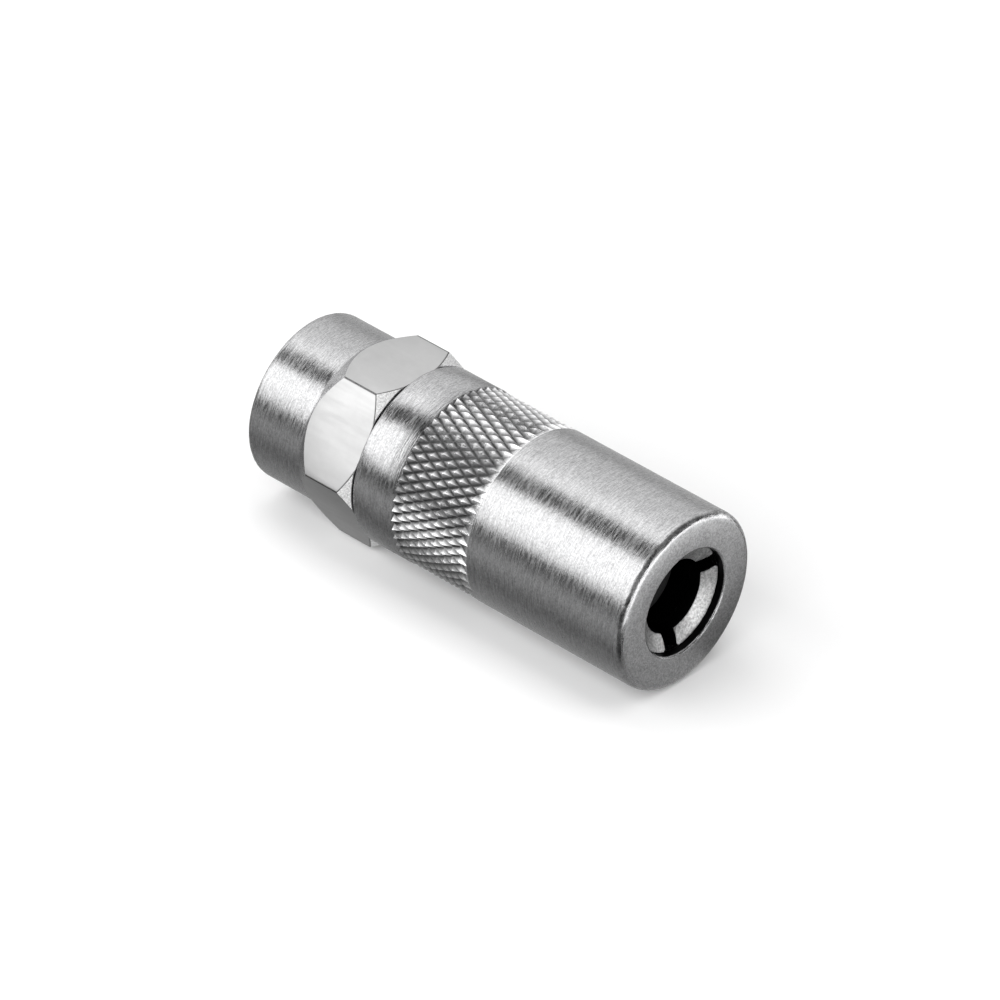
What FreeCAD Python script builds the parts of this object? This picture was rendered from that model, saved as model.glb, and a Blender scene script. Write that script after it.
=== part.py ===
"""Grease coupler: a hexagon inlet body, a knurled nose sleeve and the jaws that grip a grease nipple.

The coupler lies on its side. +X runs along its axis from the hose end to the nose, +Z is up and
two of the hexagon's flats are level. The origin is on the axis, at the inlet's rear face.
Lengths are in millimetres and angles in degrees.
"""

import FreeCAD, Part
import math
import os
import re

import Sketcher

# Driving dimensions, each a size that can be changed by itself
SIZES = {
    # Outside of the inlet body
    "collar_length": 5.7,
    "collar_step": 0.1,
    "collar_chamfer": 0.45,
    "hex_length": 5.8,
    "hex_step": 0.35,
    "hex_rear_bevel": 1.7,
    "hex_front_bevel": 0.8,
    "spigot_length": 5.4,
    "spigot_chamfer": 0.4,
    "stem_length": 3.6,
    # Passage through the inlet body
    "inlet_radius": 4.37,
    "inlet_depth": 8.0,
    "inlet_chamfer": 0.4,
    "web_thickness": 0.8,
    "port_radius": 1.25,
    "chamber_radius": 2.5,
    "seal_groove_length": 1.2,
    "seal_groove_radius": 3.65,
    # Check valve
    "ball_radius": 2.0,
    "check_wire_radius": 0.15,
    "check_coil_radius": 1.5,
    "check_turns": 4,
    "check_spring_length": 2.8,
    "retainer_length": 0.8,
    "retainer_hole_radius": 1.3,
    # Gland ring behind the stem's mouth
    "gland_length": 0.8,
    # Sleeve
    "sleeve_length": 27.45,
    "sleeve_radius": 7.5,
    "nose_rounding": 0.6,
    "sleeve_rear_chamfer": 0.25,
    "thread_wall": 1.3,
    "thread_relief": 0.1,
    "bore_wall": 1.6,
    "mouth_radius": 4.5,
    "mouth_land": 0.7,
    "mouth_break": 0.12,
    "cam_angle": 20.0,
    # Piston that carries the seal and pushes the jaws
    "tail_radius": 2.45,
    "tail_overlap": 2.7,
    "tail_chamfer": 0.25,
    "main_spring_length": 12.36,
    "flange_thickness": 1.3,
    "neck_radius": 2.6,
    "neck_length": 1.2,
    "head_radius": 3.45,
    "head_length": 1.2,
    "passage_radius": 1.0,
    "seal_pocket_radius": 2.7,
    "seal_pocket_depth": 0.8,
    # Nose seal
    "seal_radius": 3.1,
    "seal_length": 2.0,
    "seal_lip_radius": 2.5,
    "seal_cup_depth": 1.1,
    # Main spring
    "main_wire_radius": 0.4,
    "main_turns": 6,
    # Jaws
    "jaw_gap": 1.4,
    "jaw_outer_radius": 5.1,
    "jaw_foot_length": 1.1,
    "jaw_relief_radius": 3.55,
    "jaw_relief_taper": 0.5,
    "jaw_lip_radius": 3.1,
    "jaw_lip_length": 1.05,
    "jaw_funnel_depth": 0.38,
    "jaw_corner_rounding": 0.3,
    "jaw_lip_break": 0.12,
    "jaw_turn": -37.0,
    # Clearances
    "sleeve_seat_gap": 0.05,
    "thread_clearance": 0.05,
    "guide_clearance": 0.05,
    "tail_clearance": 0.05,
    "spring_seat_gap": 0.02,
    "spring_bore_gap": 0.25,
    "spring_stem_gap": 0.15,
    "ball_seat_gap": 0.02,
    "ring_squeeze_gap": 0.03,
    "jaw_face_gap": 0.05,
    "cam_clearance": 0.05,
}

JAW_COUNT = 3
RUNS_PER_TURN = 18
WIRE_SIDES = 6
RING_SIDES = 8
NOSE_STEP_ANGLE = 30
SKETCH_REACH = 20.0

# Places along the axis and radii that follow from the sizes
STATIONS = {
    "hex_end": "collar_length + hex_length",
    "thread_radius": "sleeve_radius - thread_wall",
    "sleeve_bore_radius": "sleeve_radius - bore_wall",
    "hex_flat_radius": "sleeve_radius - hex_step",
    "hex_corner_radius": "hex_flat_radius / cos(30)",
    "collar_radius": "hex_flat_radius - collar_step",
    "main_coil_radius": "sleeve_bore_radius - spring_bore_gap - main_wire_radius",
    "stem_radius": "main_coil_radius - main_wire_radius - spring_stem_gap",
    "spigot_end": "hex_end + spigot_length",
    "stem_end": "spigot_end + stem_length",
    "spigot_radius": "thread_radius - thread_clearance",
    "web_end": "inlet_depth + web_thickness",
    "gland_start": "stem_end - gland_length",
    "groove_start": "gland_start - seal_groove_length",
    "ball_centre": "web_end + sqrt(ball_radius ^ 2 - port_radius ^ 2) + ball_seat_gap",
    "check_inner_radius": "check_coil_radius - check_wire_radius",
    "check_spring_start":
        "ball_centre + sqrt(ball_radius ^ 2 - check_inner_radius ^ 2) + spring_seat_gap",
    "retainer_start": "check_spring_start + check_spring_length + spring_seat_gap",
    "sleeve_start": "hex_end + sleeve_seat_gap",
    "sleeve_end": "sleeve_start + sleeve_length",
    "thread_end": "spigot_end + thread_relief",
    "cam_end": "sleeve_end - mouth_land",
    "cam_start": "cam_end - (sleeve_bore_radius - mouth_radius) / tan(cam_angle)",
    "main_spring_start": "spigot_end + spring_seat_gap",
    "flange_start": "main_spring_start + main_spring_length + spring_seat_gap",
    "flange_end": "flange_start + flange_thickness",
    "flange_radius": "sleeve_bore_radius - guide_clearance",
    "tail_start": "stem_end - tail_overlap",
    "neck_end": "flange_end + neck_length",
    "head_end": "neck_end + head_length",
    "seal_start": "head_end - seal_pocket_depth",
    "seal_end": "head_end + seal_length",
    "jaw_start": "flange_end + jaw_face_gap",
    "jaw_end": "cam_end",
    "jaw_foot_end": "jaw_start + jaw_foot_length",
    "jaw_foot_radius": "neck_radius + guide_clearance",
    "jaw_mouth_radius": "mouth_radius - cam_clearance",
    "jaw_cone_start": "jaw_end - (jaw_outer_radius - jaw_mouth_radius) / tan(cam_angle)",
    "jaw_lip_end": "jaw_end - jaw_funnel_depth",
    "jaw_lip_start": "jaw_lip_end - jaw_lip_length",
    "jaw_relief_end": "jaw_lip_start - jaw_relief_taper",
    "jaw_apex": "jaw_gap / 2 / sin(180 / jaw_count)",
    "jaw_count": str(JAW_COUNT),
}

doc = FreeCAD.newDocument("grease_coupler")


def bound(text):
    """Return an expression with each size and station led by the name of its sheet."""
    def lookup(match):
        word = match.group(0)
        if word in SIZES:
            return "Sizes." + word
        if word in STATIONS:
            return "Stations." + word
        return word
    return re.sub(r"[a-z][a-z_]*", lookup, text)


def sheet(name, rows):
    """Write rows of alias and content into a spreadsheet."""
    table = doc.addObject("Spreadsheet::Sheet", name)
    for row, (alias, content) in enumerate(rows, start=1):
        table.set(f"A{row}", alias.replace("_", " "))
        table.set(f"B{row}", content)
        table.setAlias(f"B{row}", alias)
    doc.recompute()
    return table


sizes = sheet("Sizes", [(alias, str(number)) for alias, number in SIZES.items()])
stations = sheet("Stations", [(alias, "=" + bound(text).replace("Stations.", ""))
                              for alias, text in STATIONS.items()])


def value(alias):
    """Return the number that a size or a station holds."""
    return float(sizes.get(alias) if alias in SIZES else stations.get(alias))


def bind(item, **properties):
    """Tie properties of an object to expressions in sizes and stations."""
    for name, text in properties.items():
        item.setExpression(name.replace("__", "."), bound(text))


def body(name):
    """Start a body that carries the sub-part's name."""
    item = doc.addObject("PartDesign::Body", name)
    item.Label = name
    return item


def sketch(owner, name, plane):
    """Add a sketch on one of the body's own origin planes."""
    face = next(f for f in owner.Origin.OriginFeatures if f.Role == plane)
    item = owner.newObject("Sketcher::SketchObject", name)
    item.AttachmentSupport = (face, "")
    item.MapMode = "FlatFace"
    return item


def outline(drawing, corners):
    """Draw a closed outline whose corners are pairs of expressions, across and up."""
    count = len(corners)
    first = drawing.GeometryCount
    rough = [FreeCAD.Rotation(FreeCAD.Vector(0, 0, 1), 360.0 * i / count).multVec(
        FreeCAD.Vector(SKETCH_REACH, 0, 0)) for i in range(count)]
    for i in range(count):
        drawing.addGeometry(Part.LineSegment(rough[i], rough[(i + 1) % count]), False)
    for i in range(count):
        here, after = first + i, first + (i + 1) % count
        drawing.addConstraint(Sketcher.Constraint("Coincident", here, 2, after, 1))
    for i, (across, up) in enumerate(corners):
        for kind, place, text in (("DistanceX", rough[i].x, across), ("DistanceY", rough[i].y, up)):
            index = drawing.addConstraint(
                Sketcher.Constraint(kind, -1, 1, first + i, 1, place))
            drawing.setExpression(f"Constraints[{index}]", bound(text))


def turned(name, corners, angle="360"):
    """Make a body by turning an outline of (place along the axis, radius) about the X axis."""
    item = body(name)
    profile = sketch(item, name + "_profile", "XY_Plane")
    outline(profile, corners)
    turn = item.newObject("PartDesign::Revolution", name + "_turn")
    turn.Profile = profile
    turn.ReferenceAxis = (profile, ["H_Axis"])
    turn.Midplane = True
    bind(turn, Angle=angle)
    doc.recompute()
    return item


def rounded(item, name, radius, edges):
    """Round named edges of a body's last feature."""
    feature = item.newObject("PartDesign::Fillet", name)
    feature.Base = (feature.BaseFeature, edges)
    bind(feature, Radius=radius)
    item.Tip = feature
    doc.recompute()
    return feature


def ring(name, start, length, outer, inner):
    """Turn a plain ring with its lowest place, length, outer and inner radius."""
    end = f"{start} + {length}"
    return turned(name, [(start, inner), (end, inner), (end, outer), (start, outer)])


def along_axis(item, place):
    """Lay a primitive that stands on Z along the X axis, at a place on it."""
    item.Placement = FreeCAD.Placement(
        FreeCAD.Vector(0, 0, 0), FreeCAD.Rotation(FreeCAD.Vector(0, 1, 0), 90))
    bind(item, Placement__Base__x=place)


def make_inlet_body():
    """Turn the collar, the hexagon's blank, the spigot and the passage, then mill the flats."""
    item = turned("inlet_body", [
        ("0", "inlet_radius + inlet_chamfer"),
        ("inlet_chamfer", "inlet_radius"),
        ("inlet_depth", "inlet_radius"),
        ("inlet_depth", "port_radius"),
        ("web_end", "port_radius"),
        ("web_end", "chamber_radius"),
        ("groove_start", "chamber_radius"),
        ("groove_start", "seal_groove_radius"),
        ("stem_end", "seal_groove_radius"),
        ("stem_end", "stem_radius"),
        ("spigot_end", "stem_radius"),
        ("spigot_end", "spigot_radius - spigot_chamfer"),
        ("spigot_end - spigot_chamfer", "spigot_radius"),
        ("hex_end", "spigot_radius"),
        ("hex_end", "hex_corner_radius - hex_front_bevel"),
        ("hex_end - hex_front_bevel", "hex_corner_radius"),
        ("collar_length + hex_rear_bevel", "hex_corner_radius"),
        ("collar_length", "collar_radius"),
        ("collar_chamfer", "collar_radius"),
        ("0", "collar_radius - collar_chamfer"),
    ])
    flats = sketch(item, "hex_flats_outline", "YZ_Plane")
    bind(flats, AttachmentOffset__Base__z="collar_length")
    outline(flats, [(f"hex_corner_radius * cos({60 * i})", f"hex_corner_radius * sin({60 * i})")
                    for i in range(6)])
    blank = "hex_corner_radius * 1.2"
    outline(flats, [("-" + blank, "-" + blank), (blank, "-" + blank),
                    (blank, blank), ("-" + blank, blank)])
    mill = item.newObject("PartDesign::Pocket", "hex_flats")
    mill.Profile = flats
    mill.Reversed = True
    bind(mill, Length="hex_length")
    doc.recompute()
    return item


def make_sleeve():
    """Turn the sleeve: thread bore, spring bore, closing cone, mouth and a nose round in flats."""
    nose = [(f"sleeve_end - nose_rounding * (1 - sin({turn}))",
             f"sleeve_radius - nose_rounding * (1 - cos({turn}))")
            for turn in range(90, -1, -NOSE_STEP_ANGLE)]
    return turned("sleeve", [
        ("sleeve_start", "thread_radius"),
        ("thread_end", "thread_radius"),
        ("thread_end", "sleeve_bore_radius"),
        ("cam_start", "sleeve_bore_radius"),
        ("cam_end", "mouth_radius"),
        ("sleeve_end - mouth_break", "mouth_radius"),
        ("sleeve_end", "mouth_radius + mouth_break"),
        *nose,
        ("sleeve_start + sleeve_rear_chamfer", "sleeve_radius"),
        ("sleeve_start", "sleeve_radius - sleeve_rear_chamfer"),
    ])


def back_corners(shape):
    """Return the names of the edges that run along the jaw at its back."""
    names = []
    for number, edge in enumerate(shape.Edges, start=1):
        start, end = edge.Vertexes[0].Point, edge.Vertexes[-1].Point
        runs_along = abs(start.x - end.x) > value("jaw_relief_taper")
        reach = min(start.y ** 2 + start.z ** 2, end.y ** 2 + end.z ** 2) ** 0.5
        if runs_along and reach > value("jaw_mouth_radius") - 1e-4:
            names.append(f"Edge{number}")
    return names


def make_jaw(number):
    """Turn one jaw's sector, saw its two sides with the gap's saw and round its back corners."""
    name = f"jaw_{number + 1}"
    item = turned(name, [
        ("jaw_start", "jaw_foot_radius"),
        ("jaw_foot_end", "jaw_foot_radius"),
        ("jaw_foot_end", "jaw_relief_radius"),
        ("jaw_relief_end", "jaw_relief_radius"),
        ("jaw_lip_start", "jaw_lip_radius"),
        ("jaw_lip_end - jaw_lip_break", "jaw_lip_radius"),
        ("jaw_lip_end", "jaw_lip_radius + jaw_lip_break"),
        ("jaw_end", "jaw_mouth_radius"),
        ("jaw_cone_start", "jaw_outer_radius"),
        ("jaw_start", "jaw_outer_radius"),
    ], angle="360 / jaw_count")
    sides = sketch(item, name + "_sides_outline", "YZ_Plane")
    reach = "jaw_outer_radius * 1.2"
    corner = f"jaw_apex + {reach} / tan(180 / jaw_count)"
    outline(sides, [("-" + reach, "-" + reach), (corner, "-" + reach), ("jaw_apex", "0"),
                    (corner, reach), ("-" + reach, reach)])
    saw = item.newObject("PartDesign::Pocket", name + "_sides")
    saw.Profile = sides
    saw.Type = "ThroughAll"
    saw.Midplane = True
    doc.recompute()
    rounded(item, name + "_corners", "jaw_corner_rounding", back_corners(item.Shape))
    item.Placement.Rotation = FreeCAD.Rotation(FreeCAD.Vector(1, 0, 0), 1)
    bind(item, Placement__Rotation__Angle=f"jaw_turn + {number} * 360 / jaw_count")
    doc.recompute()
    return item


def make_piston():
    """Turn the hollow piston: tail, flange, neck for the jaws' feet and head for the seal."""
    return turned("piston", [
        ("tail_start", "passage_radius"),
        ("seal_start", "passage_radius"),
        ("seal_start", "seal_pocket_radius"),
        ("head_end", "seal_pocket_radius"),
        ("head_end", "head_radius"),
        ("neck_end", "head_radius"),
        ("neck_end", "neck_radius"),
        ("flange_end", "neck_radius"),
        ("flange_end", "flange_radius"),
        ("flange_start", "flange_radius"),
        ("flange_start", "tail_radius"),
        ("tail_start + tail_chamfer", "tail_radius"),
        ("tail_start", "tail_radius - tail_chamfer"),
    ])


def make_nose_seal():
    """Turn the rubber seal: a foot in the piston's pocket and a cupped face for the nipple."""
    return turned("nose_seal", [
        ("seal_start", "passage_radius"),
        ("seal_end - seal_cup_depth", "passage_radius"),
        ("seal_end", "seal_lip_radius"),
        ("seal_end", "seal_radius"),
        ("head_end", "seal_radius"),
        ("head_end", "seal_pocket_radius"),
        ("seal_start", "seal_pocket_radius"),
    ])


def make_piston_seal():
    """Turn the ring that fills the stem's groove up to the piston's tail, round in eight flats."""
    middle = "(seal_groove_radius + tail_radius + ring_squeeze_gap) / 2"
    radius = "(seal_groove_radius - tail_radius - ring_squeeze_gap) / 2"
    centre = "groove_start + seal_groove_length / 2"
    flat = 360 / RING_SIDES
    return turned("piston_o_ring", [
        (f"{centre} + {radius} * cos({flat * (i + 0.5)}) / cos({flat / 2})",
         f"{middle} + {radius} * sin({flat * (i + 0.5)}) / cos({flat / 2})")
        for i in range(RING_SIDES)])


def make_ball():
    """Make the check ball on the edge of its port."""
    item = doc.addObject("Part::Sphere", "check_ball")
    bind(item, Radius="ball_radius")
    along_axis(item, "ball_centre")
    return item


def make_spring(name, start, length, coil_radius, wire_radius, turns):
    """Coil a six-sided wire in straight runs, which keeps its faces few, and grind both ends flat."""
    runs = round(value(turns)) * RUNS_PER_TURN
    radius, rise = value(coil_radius), value(length) / runs
    step = 2 * math.pi / RUNS_PER_TURN
    line = doc.addObject("Part::Polygon", name + "_line")
    line.Nodes = [
        FreeCAD.Vector(radius * math.cos(i * step), radius * math.sin(i * step), i * rise)
        for i in range(runs + 1)]
    wire = doc.addObject("Part::RegularPolygon", name + "_wire")
    wire.Polygon = WIRE_SIDES
    wire.Placement.Rotation = FreeCAD.Rotation(FreeCAD.Vector(1, 0, 0), 90)
    bind(wire, Circumradius=wire_radius, Placement__Base__x=coil_radius)
    coil = doc.addObject("Part::Sweep", name + "_coil")
    coil.Sections = [wire]
    coil.Spine = (line, [])
    coil.Solid = True
    coil.Transition = "Right corner"
    room = doc.addObject("Part::Cylinder", name + "_room")
    bind(room, Radius=f"{coil_radius} + 2 * {wire_radius}", Height=length)
    item = doc.addObject("Part::Common", name)
    item.Base = coil
    item.Tool = room
    along_axis(item, start)
    return item


def check(parts):
    """Stop if an object failed to compute or a sub-part isn't one closed solid."""
    for item in doc.Objects:
        if "Invalid" in item.State or "Error" in item.State:
            raise RuntimeError(f"{item.Name} failed: {item.State}")
    for item in parts:
        if item.Shape.isNull() or not item.Shape.isValid() or len(item.Shape.Solids) != 1:
            raise RuntimeError(f"{item.Label} isn't one valid solid")


parts = [
    make_inlet_body(),
    make_sleeve(),
    make_piston(),
    make_nose_seal(),
    make_piston_seal(),
    ring("gland_ring", "gland_start", "gland_length", "seal_groove_radius",
         "tail_radius + tail_clearance"),
    ring("check_retainer", "retainer_start", "retainer_length", "chamber_radius",
         "retainer_hole_radius"),
    make_ball(),
    make_spring("check_spring", "check_spring_start", "check_spring_length",
                "check_coil_radius", "check_wire_radius", "check_turns"),
    make_spring("main_spring", "main_spring_start", "main_spring_length",
                "main_coil_radius", "main_wire_radius", "main_turns"),
]
parts += [make_jaw(number) for number in range(JAW_COUNT)]

for item in parts:
    item.Label = item.Name
doc.recompute()
check(parts)

os.makedirs("parts", exist_ok=True)
for item in parts:
    item.Shape.exportStep(f"parts/{item.Label}.step")
    print(f"{item.Label}: {item.Shape.Volume:.2f} mm3")
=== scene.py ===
"""Grease coupler: turned steel body with a hexagon, knurled nose sleeve and three gripping jaws.

The coupler lies along X, with its hose end at the origin and its nose at +X. Units are metres.
"""

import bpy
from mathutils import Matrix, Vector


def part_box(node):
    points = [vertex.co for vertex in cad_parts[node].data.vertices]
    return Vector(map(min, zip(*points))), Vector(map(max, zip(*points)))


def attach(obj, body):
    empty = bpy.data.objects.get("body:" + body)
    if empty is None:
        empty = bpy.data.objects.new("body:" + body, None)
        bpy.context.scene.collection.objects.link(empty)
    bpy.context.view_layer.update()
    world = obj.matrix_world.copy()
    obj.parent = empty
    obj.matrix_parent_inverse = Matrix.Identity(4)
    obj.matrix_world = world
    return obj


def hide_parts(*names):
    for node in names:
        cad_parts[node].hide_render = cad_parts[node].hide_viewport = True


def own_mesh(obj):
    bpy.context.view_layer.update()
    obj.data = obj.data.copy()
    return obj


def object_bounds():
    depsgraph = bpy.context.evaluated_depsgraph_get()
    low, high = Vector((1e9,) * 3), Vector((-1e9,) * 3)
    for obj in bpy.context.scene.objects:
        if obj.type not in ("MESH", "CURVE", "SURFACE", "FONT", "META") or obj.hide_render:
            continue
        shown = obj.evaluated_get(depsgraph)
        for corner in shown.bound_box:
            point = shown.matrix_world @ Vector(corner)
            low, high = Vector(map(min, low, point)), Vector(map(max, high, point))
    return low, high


bl_info = {
    "name": "Grease Coupler",
    "version": (1, 0, 0),
    "blender": (4, 5, 0),
    "location": "3D View > Sidebar > Coupler",
    "description": "Builds a hexagon and knurl grease coupler piece by piece",
    "category": "Add Mesh",
}

import math

import bmesh
import bpy
from mathutils import Matrix, Vector

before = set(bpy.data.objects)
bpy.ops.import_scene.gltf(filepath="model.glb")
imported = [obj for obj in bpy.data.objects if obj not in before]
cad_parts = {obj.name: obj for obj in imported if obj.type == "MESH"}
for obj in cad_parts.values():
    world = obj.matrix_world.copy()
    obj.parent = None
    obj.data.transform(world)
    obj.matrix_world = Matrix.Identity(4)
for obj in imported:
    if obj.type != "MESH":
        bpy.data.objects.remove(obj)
cad_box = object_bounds()

MM = 0.001
AXIS = (1, 0, 0)
CENTRE = (0, 0, 0)
FULL_TURN = 2 * math.pi
JAW_COUNT = 3
RING_STEPS = 30
COIL_STEPS = 36
SMOOTH_LIMIT = math.radians(32)


def lowest(node):
    """Return a node's lowest place along the coupler's axis."""
    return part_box(node)[0].x


def highest(node):
    """Return a node's highest place along the coupler's axis."""
    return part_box(node)[1].x


# Settings that a user would change

def length(name, description, size):
    """Describe a length whose default is given in millimetres."""
    return bpy.props.FloatProperty(name=name, description=description, default=size * MM,
                                   min=0, precision=5, unit="LENGTH", subtype="DISTANCE")


def turn(name, description, degrees):
    """Describe an angle whose default is given in degrees."""
    return bpy.props.FloatProperty(name=name, description=description,
                                   default=math.radians(degrees), unit="ROTATION",
                                   subtype="ANGLE")


def count(name, description, number):
    """Describe a whole number."""
    return bpy.props.IntProperty(name=name, description=description, default=number, min=1)


def colour(name, description, shade):
    """Describe a colour."""
    return bpy.props.FloatVectorProperty(name=name, description=description, default=shade,
                                         size=3, min=0, max=1, subtype="COLOR")


class InletSettings(bpy.types.PropertyGroup):
    """Sizes of the inlet body."""
    collar_radius: length("Collar radius", "Radius of the plain collar at the hose end", 7.05)
    collar_length: length("Collar length", "Length of the plain collar", 5.7)
    collar_edge: length("Collar edge", "Rounding of the collar's rear edge", 0.45)
    hex_flat_radius: length("Flat radius", "Half the hexagon's width across flats", 7.15)
    hex_end: length("Hexagon end", "Place where the hexagon ends", 11.5)
    rear_bevel: length("Rear bevel", "Length of the hexagon's rear cone", 1.7)
    front_bevel: length("Front bevel", "Length of the hexagon's front cone", 0.8)
    hex_edge: length("Hexagon edge", "Breaking of the hexagon's sharp edges", 0.07)
    groove_radius: length("Thread root", "Radius of the inlet thread's groove", 4.82)
    thread_radius: length("Thread crest", "Radius of the inlet thread's crest", 4.37)
    thread_pitch: length("Thread pitch", "Pitch of the inlet thread", 0.94)
    thread_length: length("Thread length", "Length of the inlet thread", 7.2)
    bore_depth: length("Bore depth", "Depth of the threaded bore", 8.0)
    port_radius: length("Port radius", "Radius of the port behind the check valve", 1.25)
    port_length: length("Port length", "Length of the port", 0.8)
    stem_bore: length("Stem bore", "Radius of the bore for the check valve and piston", 2.5)
    pocket_radius: length("Pocket radius", "Radius of the pocket for the piston's rings", 3.65)
    pocket_start: length("Pocket start", "Place where that pocket starts", 18.5)
    stem_radius: length("Stem radius", "Radius of the stem inside the main spring", 4.7)
    stem_end: length("Stem end", "Place where the stem ends", 20.5)
    spigot_radius: length("Spigot radius", "Radius of the sleeve's seat", 6.15)
    spigot_end: length("Spigot end", "Place where the sleeve's seat ends", 16.9)
    spigot_edge: length("Spigot edge", "Chamfer at the spigot's end", 0.4)


class SleeveSettings(bpy.types.PropertyGroup):
    """Sizes of the sleeve and its knurl."""
    radius: length("Radius", "Outer radius of the sleeve", 7.5)
    nose_rounding: length("Nose rounding", "Rounding of the nose's outer edge", 0.68)
    rear_edge: length("Rear edge", "Breaking of the sleeve's rear edge", 0.28)
    seat_radius: length("Seat radius", "Radius of the bore over the spigot", 6.2)
    seat_end: length("Seat end", "Place where that bore ends", 17.0)
    bore_radius: length("Bore radius", "Radius of the spring bore", 5.9)
    mouth_radius: length("Mouth radius", "Radius of the mouth", 4.5)
    mouth_edge: length("Mouth edge", "Breaking of the mouth's edge", 0.2)
    mouth_land: length("Mouth land", "Length of the mouth's straight land", 0.7)
    cone_angle: turn("Cone angle", "Half angle of the cone that closes the jaws", 20)
    knurl_start: length("Knurl start", "Place where the knurl starts", 15.72)
    knurl_length: length("Knurl length", "Length of the knurled band", 7.75)
    knurl_around: count("Diamonds around", "Diamonds in one turn", 52)
    knurl_along: count("Half diamonds along", "Half diamonds along the band", 9)
    knurl_depth: length("Knurl depth", "Depth of the grooves where they cross", 0.34)
    knurl_crest: length("Knurl crest", "Width that is worn off each diamond's point", 0.07)
    knurl_twist: turn("Knurl twist", "Turn of the pattern from one end to the other", -4.4)


class JawSettings(bpy.types.PropertyGroup):
    """Sizes of the gripping jaws."""
    gap: length("Gap", "Width of the saw cut between two jaws", 1.4)
    outer_radius: length("Outer radius", "Radius of the ring that the jaws are cut from", 5.1)
    mouth_radius: length("Front radius", "Outer radius of the jaws' front edge", 4.45)
    lip_radius: length("Lip radius", "Radius of the lip that grips the nipple", 3.1)
    lip_length: length("Lip length", "Length of the gripping lip", 1.05)
    funnel: length("Funnel", "Depth of the shallow funnel in front of the lip", 0.55)
    relief_radius: length("Relief radius", "Radius behind the lip", 3.55)
    foot_radius: length("Foot radius", "Inner radius of the jaws' feet", 2.65)
    foot_length: length("Foot length", "Length of the jaws' feet", 1.1)
    corner: length("Corner", "Rounding of the saw cuts' corners", 0.26)
    first_turn: turn("First jaw", "Angle of the first jaw around the axis", -37)


class CoreSettings(bpy.types.PropertyGroup):
    """Sizes of the piston, seals, springs and check valve."""
    tail_radius: length("Tail radius", "Radius of the piston's tail", 2.45)
    flange_radius: length("Flange radius", "Radius of the piston's flange", 5.85)
    flange_length: length("Flange length", "Thickness of the piston's flange", 1.3)
    neck_radius: length("Neck radius", "Radius of the neck that the jaws hook on", 2.6)
    head_radius: length("Head radius", "Radius of the piston's head", 3.45)
    head_length: length("Head length", "Length of the piston's head", 1.2)
    passage_radius: length("Passage radius", "Radius of the grease passage", 1.0)
    pocket_radius: length("Pocket radius", "Radius of the seal's pocket", 2.7)
    ring_bore: length("O-ring bore", "Inner radius of the piston's O-ring", 2.48)
    retainer_bore: length("Retainer bore", "Inner radius of the check retainer", 1.3)
    seal_radius: length("Seal radius", "Outer radius of the nose seal", 3.1)
    lip_radius: length("Seal lip", "Radius of the nose seal's cupped mouth", 2.5)
    cup_depth: length("Cup depth", "Depth of the nose seal's cup", 1.1)
    main_coil: length("Main coil", "Radius of the main spring's coil", 5.25)
    main_wire: length("Main wire", "Radius of the main spring's wire", 0.4)
    main_turns: count("Main turns", "Free turns of the main spring", 5)
    check_coil: length("Check coil", "Radius of the check spring's coil", 1.5)
    check_wire: length("Check wire", "Radius of the check spring's wire", 0.15)
    check_turns: count("Check turns", "Free turns of the check spring", 4)


class FinishSettings(bpy.types.PropertyGroup):
    """Colours of the finishes."""
    turned: colour("Turned steel", "Turned and brushed steel", (0.47, 0.47, 0.475))
    faced: colour("Faced steel", "Faced end of the nose", (0.44, 0.44, 0.445))
    # The bevelled colour is a painted highlight on the hexagon's front bevels
    bevelled: colour("Bevelled steel", "Bright bevels of the hexagon", (0.88, 0.88, 0.88))
    milled: colour("Milled steel", "Milled hexagon flats", (0.53, 0.53, 0.53))
    knurled: colour("Knurled steel", "Knurled band", (0.64, 0.64, 0.645))
    # The darkened colour is painted shade, nearly black, used in hollows and on broken edges
    darkened: colour("Darkened steel", "Greasy steel inside the mouth", (0.012, 0.012, 0.0125))
    hardened: colour("Hardened steel", "Hardened jaws", (0.5, 0.5, 0.5))
    wire: colour("Spring wire", "Drawn spring wire", (0.36, 0.36, 0.375))
    polished: colour("Polished steel", "Polished check ball", (0.62, 0.62, 0.63))
    rubber: colour("Rubber", "Black seal rubber", (0.009, 0.009, 0.0095))


class StageSettings(bpy.types.PropertyGroup):
    """Camera, floor and lamps."""
    azimuth: turn("Azimuth", "Camera's azimuth", 40.55)
    elevation: turn("Elevation", "Camera's elevation", 34.95)
    roll: turn("Roll", "Camera's roll", 2.89)
    distance: length("Distance", "Camera's distance", 598.1)
    aim: length("Aim", "Place on the axis that the camera looks at", 20.1)
    lens: bpy.props.FloatProperty(name="Lens", description="Focal length in millimetres",
                                  default=281.4, min=1, unit="CAMERA")
    floor: colour("Floor", "Colour of the floor and backdrop", (0.9, 0.9, 0.9))


# Modelling helpers

def lathe(corners, steps, segments=4):
    """Spin a closed outline of (place, radius, rounding) corners once about the coupler's axis."""
    mesh = bmesh.new()
    points = [mesh.verts.new((place, 0, radius)) for place, radius, _ in corners]
    for here, after in zip(points, points[1:] + points[:1]):
        mesh.edges.new((here, after))
    for point, (_, _, rounding) in zip(points, corners):
        if rounding:
            round_off(mesh, [point], rounding, segments, "VERTICES")
    spin_round(mesh, steps)
    return mesh


def round_off(mesh, geom, offset, segments, affect, clamp=False):
    """Bevel edges or vertices."""
    bmesh.ops.bevel(mesh, geom=geom, offset=offset, segments=segments, profile=0.5,
                    affect=affect, clamp_overlap=clamp, material=-1)


def spin_round(mesh, steps):
    """Spin a closed outline once about the coupler's axis."""
    bmesh.ops.spin(mesh, geom=mesh.verts[:] + mesh.edges[:], cent=CENTRE, axis=AXIS,
                   dvec=(0, 0, 0), angle=FULL_TURN, steps=steps, use_merge=True)
    tidy(mesh)


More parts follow.
